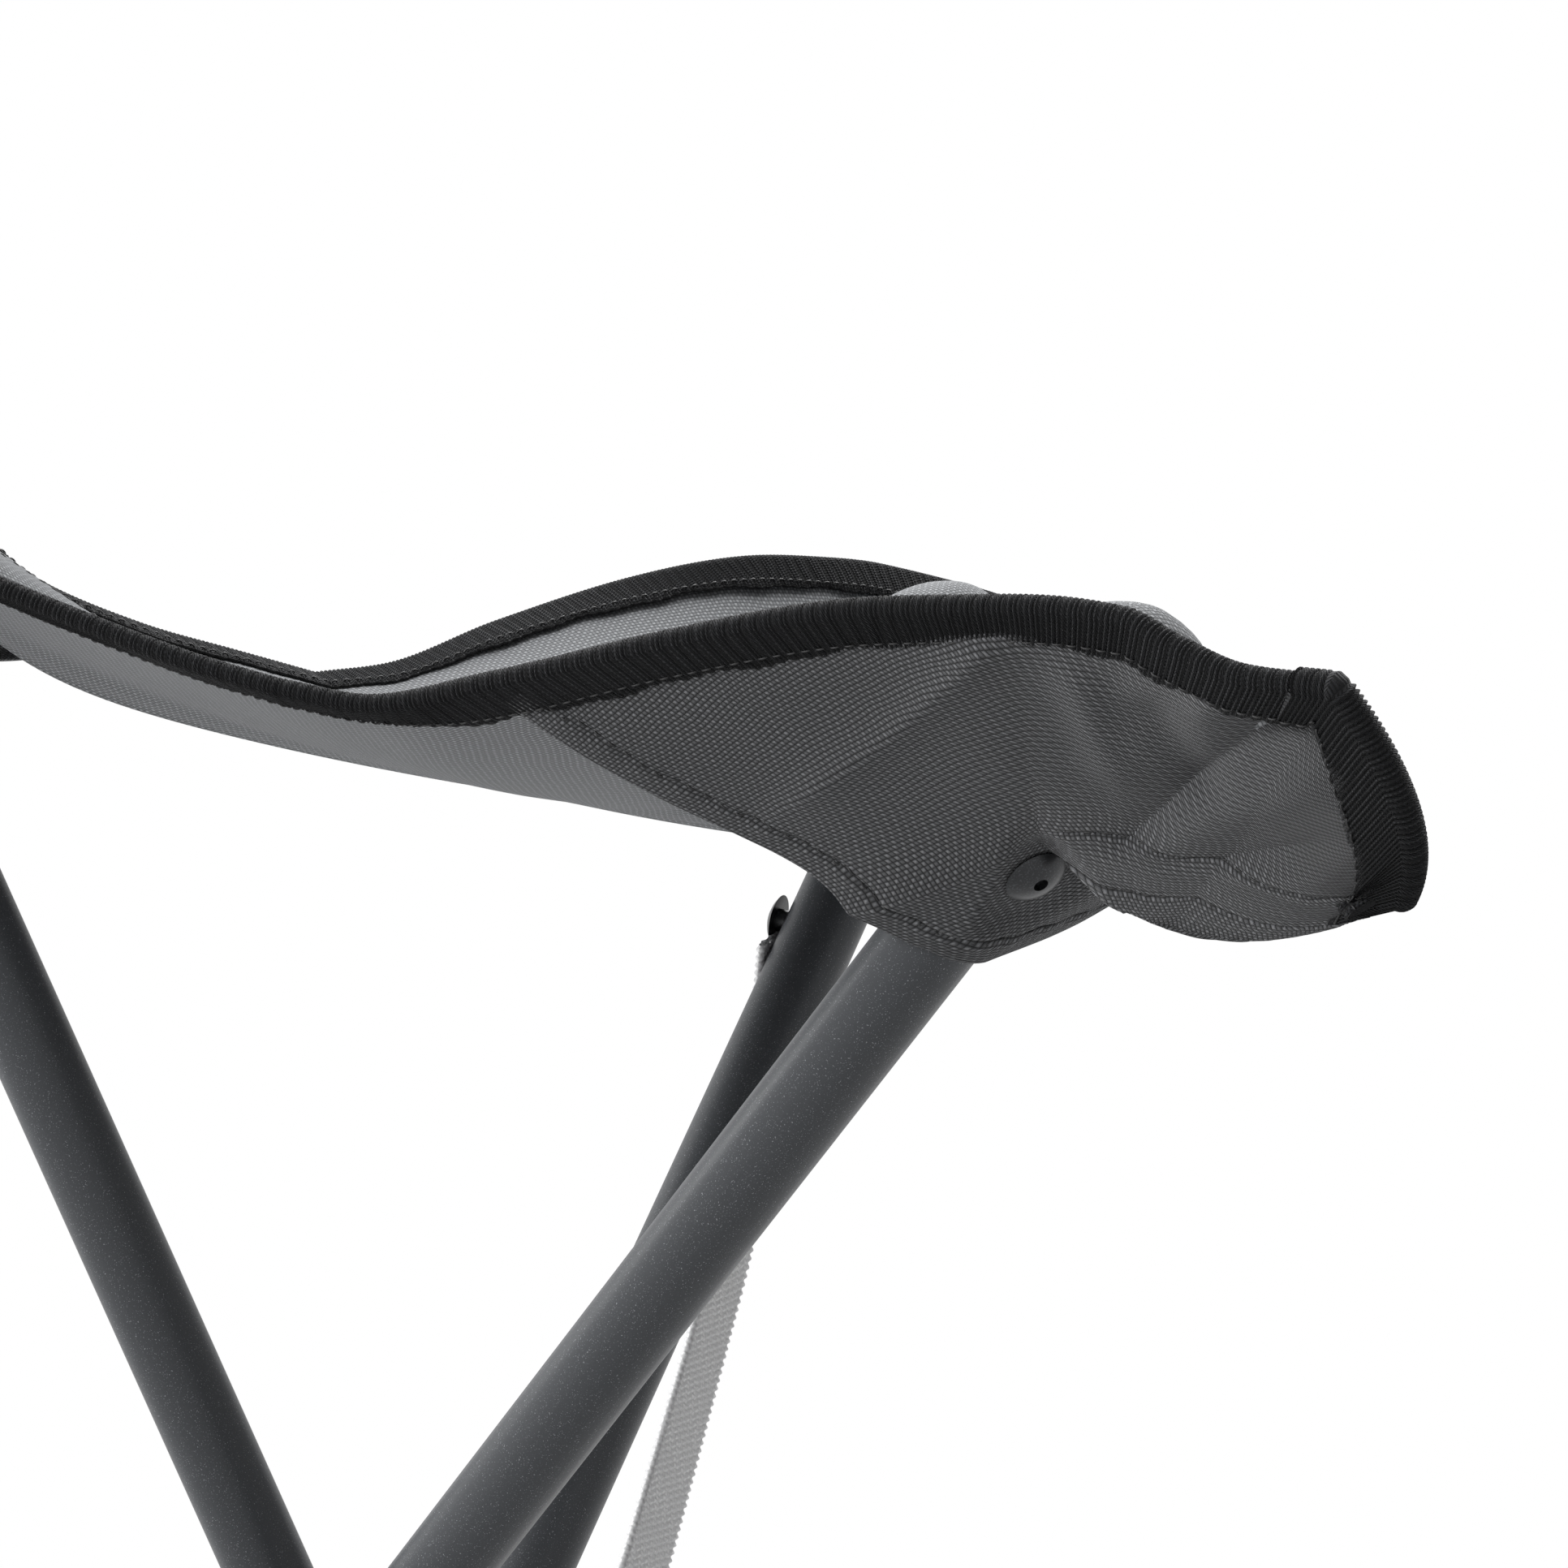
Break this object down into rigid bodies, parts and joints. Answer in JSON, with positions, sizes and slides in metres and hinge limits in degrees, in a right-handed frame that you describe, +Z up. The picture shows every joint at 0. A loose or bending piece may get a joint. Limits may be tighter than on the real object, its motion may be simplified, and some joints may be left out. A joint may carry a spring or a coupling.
{
  "type": "three leg folding stool",
  "caption": "Folding camp stool: crossed tube legs on a three way pivot under a triangular sling seat with corner pockets and a carry strap.",
  "frame": {"origin": "on the floor, straight below the middle of the pivot, with the stool open on its three feet", "axes": "+Z up; +X the way leg A's upper half leans; legs A, B and C lean at 0, -120 and +120 degrees from +X"},
  "size_m": [0.4052, 0.3962, 0.4803],
  "materials": {
    "hub_cast": "satin",
    "washer_steel": "satin",
    "nut_steel": "satin",
    "tube_coat": "satin metallic",
    "bush_plastic": "matte",
    "plug_plastic": "matte",
    "foot_rubber": "matte",
    "rivet_coat": "satin",
    "pocket_cloth": "woven",
    "patch_cloth": "woven",
    "seat_cloth": "woven",
    "tape_webbing": "ribbed webbing",
    "strap_webbing": "webbing"
  },
  "bodies": {
    "hub": {"hub_spider": "hub_cast", "pivot_washer_a": "washer_steel", "pivot_washer_b": "washer_steel", "pivot_washer_c": "washer_steel", "cap_nut_a": "nut_steel", "cap_nut_b": "nut_steel", "cap_nut_c": "nut_steel", "seat_panel": "seat_cloth", "edge_binding_ab": "tape_webbing", "edge_binding_bc": "tape_webbing", "edge_binding_ca": "tape_webbing"},
    "leg_a": {"leg_tube_a": "tube_coat", "pivot_bush_a": "bush_plastic", "top_plug_a": "plug_plastic", "foot_a": "foot_rubber", "pocket_rivet_a": "rivet_coat", "corner_pocket_a": "pocket_cloth", "corner_patch_a": "patch_cloth", "tip_binding_a": "tape_webbing"},
    "leg_b": {"leg_tube_b": "tube_coat", "pivot_bush_b": "bush_plastic", "top_plug_b": "plug_plastic", "foot_b": "foot_rubber", "pocket_rivet_b": "rivet_coat", "corner_pocket_b": "pocket_cloth", "corner_patch_b": "patch_cloth", "tip_binding_b": "tape_webbing"},
    "leg_c": {"leg_tube_c": "tube_coat", "pivot_bush_c": "bush_plastic", "top_plug_c": "plug_plastic", "foot_c": "foot_rubber", "pocket_rivet_c": "rivet_coat", "corner_pocket_c": "pocket_cloth", "corner_patch_c": "patch_cloth", "tip_binding_c": "tape_webbing", "carry_strap": "strap_webbing", "strap_rivets": "rivet_coat"}
  },
  "joints": [
    {"name": "fold_a", "type": "hinge", "parent": "hub", "child": "leg_a", "pos_m": [0, 0, 0.2351], "axis": [0, -1, 0], "range_deg": [0, 35], "deforming": ["seat_panel", "edge_binding_ab", "edge_binding_bc", "edge_binding_ca", "corner_pocket_a", "corner_patch_a", "tip_binding_a"]},
    {"name": "fold_b", "type": "hinge", "parent": "hub", "child": "leg_b", "pos_m": [0, 0, 0.2351], "axis": [-0.866, 0.5, 0], "range_deg": [0, 35], "deforming": ["corner_pocket_b", "corner_patch_b", "tip_binding_b", "carry_strap"]},
    {"name": "fold_c", "type": "hinge", "parent": "hub", "child": "leg_c", "pos_m": [0, 0, 0.2351], "axis": [0.866, 0.5, 0], "range_deg": [0, 35], "deforming": ["corner_pocket_c", "corner_patch_c", "tip_binding_c"]}
  ],
  "couplings": [
    {"joint": "fold_b", "follows": "fold_a", "ratio": 1},
    {"joint": "fold_c", "follows": "fold_a", "ratio": 1}
  ]
}
